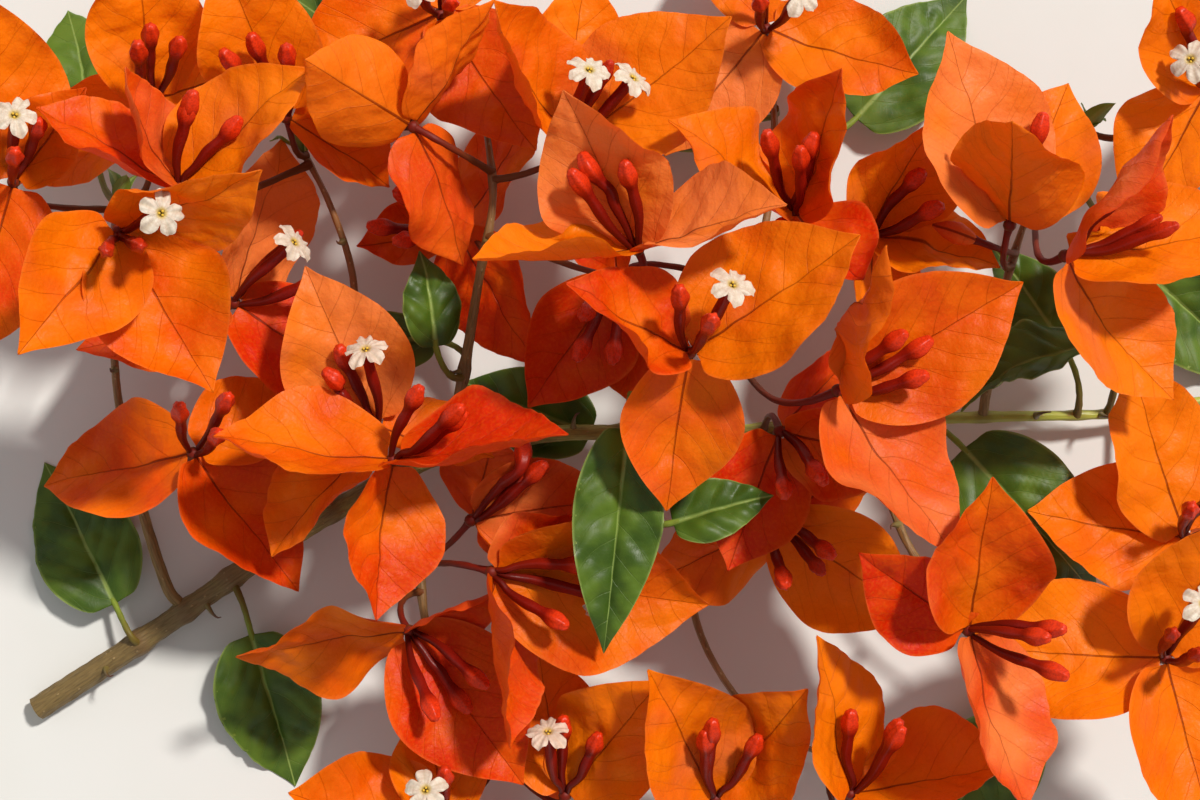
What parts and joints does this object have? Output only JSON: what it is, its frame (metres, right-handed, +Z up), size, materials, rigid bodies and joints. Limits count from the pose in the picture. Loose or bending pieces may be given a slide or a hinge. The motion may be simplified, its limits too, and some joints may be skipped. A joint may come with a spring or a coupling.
{
  "type": "bougainvillea branch",
  "caption": "Cut branch of an orange bougainvillea, lying flat: a thin cane with side shoots, papery bract blooms with slender flower tubes, and green leaves.",
  "frame": {"origin": "middle of the branch's footprint, on the surface that it lies on", "axes": "+X runs from the cane's cut end towards its tip, +Y to the left of that, +Z up, the way the blooms face"},
  "size_m": [0.318, 0.2364, 0.0962],
  "materials": {
    "bract_orange": "matt, papery",
    "leaf_green": "semi-gloss",
    "cane_bark": "matt",
    "shoot_bark": "matt"
  },
  "bodies": {
    "root": {"main_cane": "cane_bark", "shoot_a": "shoot_bark", "shoot_b": "shoot_bark", "shoot_c": "shoot_bark", "shoot_d": "shoot_bark", "shoot_e": "shoot_bark", "shoot_f": "shoot_bark", "shoot_g": "shoot_bark", "shoot_h": "shoot_bark", "bloom_01": "bract_orange", "bloom_02": "bract_orange", "bloom_03": "bract_orange", "bloom_04": "bract_orange", "bloom_05": "bract_orange", "bloom_06": "bract_orange", "bloom_07": "bract_orange", "bloom_08": "bract_orange", "bloom_09": "bract_orange", "bloom_10": "bract_orange", "bloom_11": "bract_orange", "bloom_12": "bract_orange", "bloom_13": "bract_orange", "bloom_14": "bract_orange", "bloom_15": "bract_orange", "bloom_16": "bract_orange", "bloom_17": "bract_orange", "bloom_18": "bract_orange", "bloom_19": "bract_orange", "bloom_20": "bract_orange", "bloom_21": "bract_orange", "bloom_22": "bract_orange", "bloom_23": "bract_orange", "bloom_24": "bract_orange", "bloom_25": "bract_orange", "bloom_26": "bract_orange", "bloom_27": "bract_orange", "bloom_28": "bract_orange", "bloom_29": "bract_orange", "bloom_30": "bract_orange", "bloom_31": "bract_orange", "bloom_32": "bract_orange", "bloom_33": "bract_orange", "bloom_34": "bract_orange", "bloom_35": "bract_orange", "leaf_01": "leaf_green", "leaf_02": "leaf_green", "leaf_03": "leaf_green", "leaf_04": "leaf_green", "leaf_05": "leaf_green", "leaf_06": "leaf_green", "leaf_07": "leaf_green", "leaf_08": "leaf_green", "leaf_09": "leaf_green", "leaf_10": "leaf_green", "leaf_11": "leaf_green", "leaf_12": "leaf_green", "leaf_13": "leaf_green", "leaf_14": "leaf_green", "leaf_15": "leaf_green", "leaf_16": "leaf_green"}
  },
  "joints": []
}
